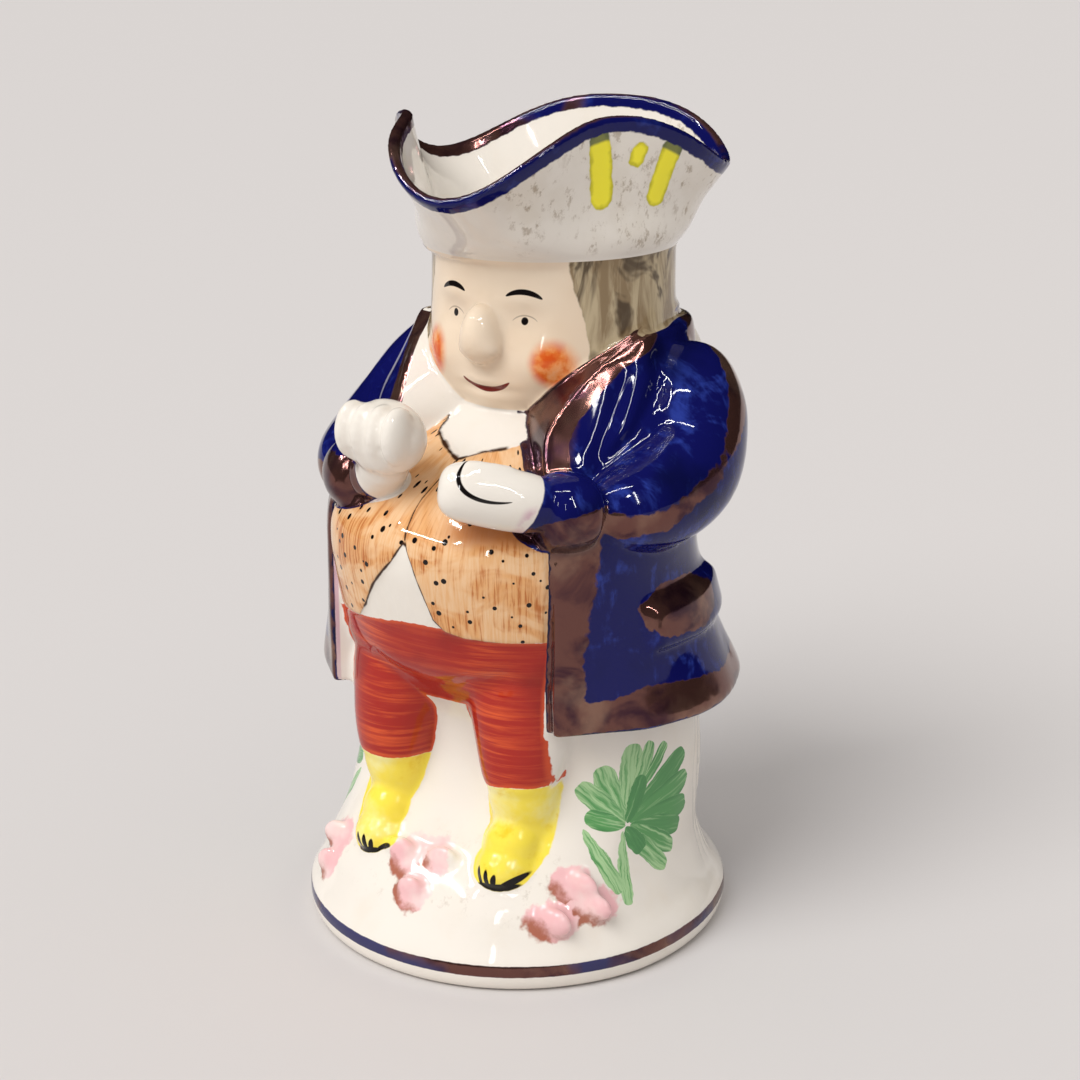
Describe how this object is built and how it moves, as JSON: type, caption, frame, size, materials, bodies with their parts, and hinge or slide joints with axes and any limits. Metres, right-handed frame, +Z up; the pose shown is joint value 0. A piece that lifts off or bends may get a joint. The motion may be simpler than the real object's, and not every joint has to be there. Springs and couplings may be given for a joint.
{
  "type": "toby jug",
  "caption": "Glazed earthenware figure jug: a stout man in coat and breeches stands on a mound, his open three-cornered hat is the mouth, and a strap handle loops behind.",
  "frame": {"origin": "under the middle of the whole jug, handle included, on the plane that it stands on", "axes": "+Z up, the man faces -Y with the handle behind him at +Y, and his left hand is on the +X side"},
  "size_m": [0.1358, 0.177, 0.2486],
  "materials": {
    "glazed_earthenware": "clear gloss glaze over a cream-white body, hand painted"
  },
  "bodies": {
    "root": {"jug": "glazed_earthenware"}
  },
  "joints": []
}
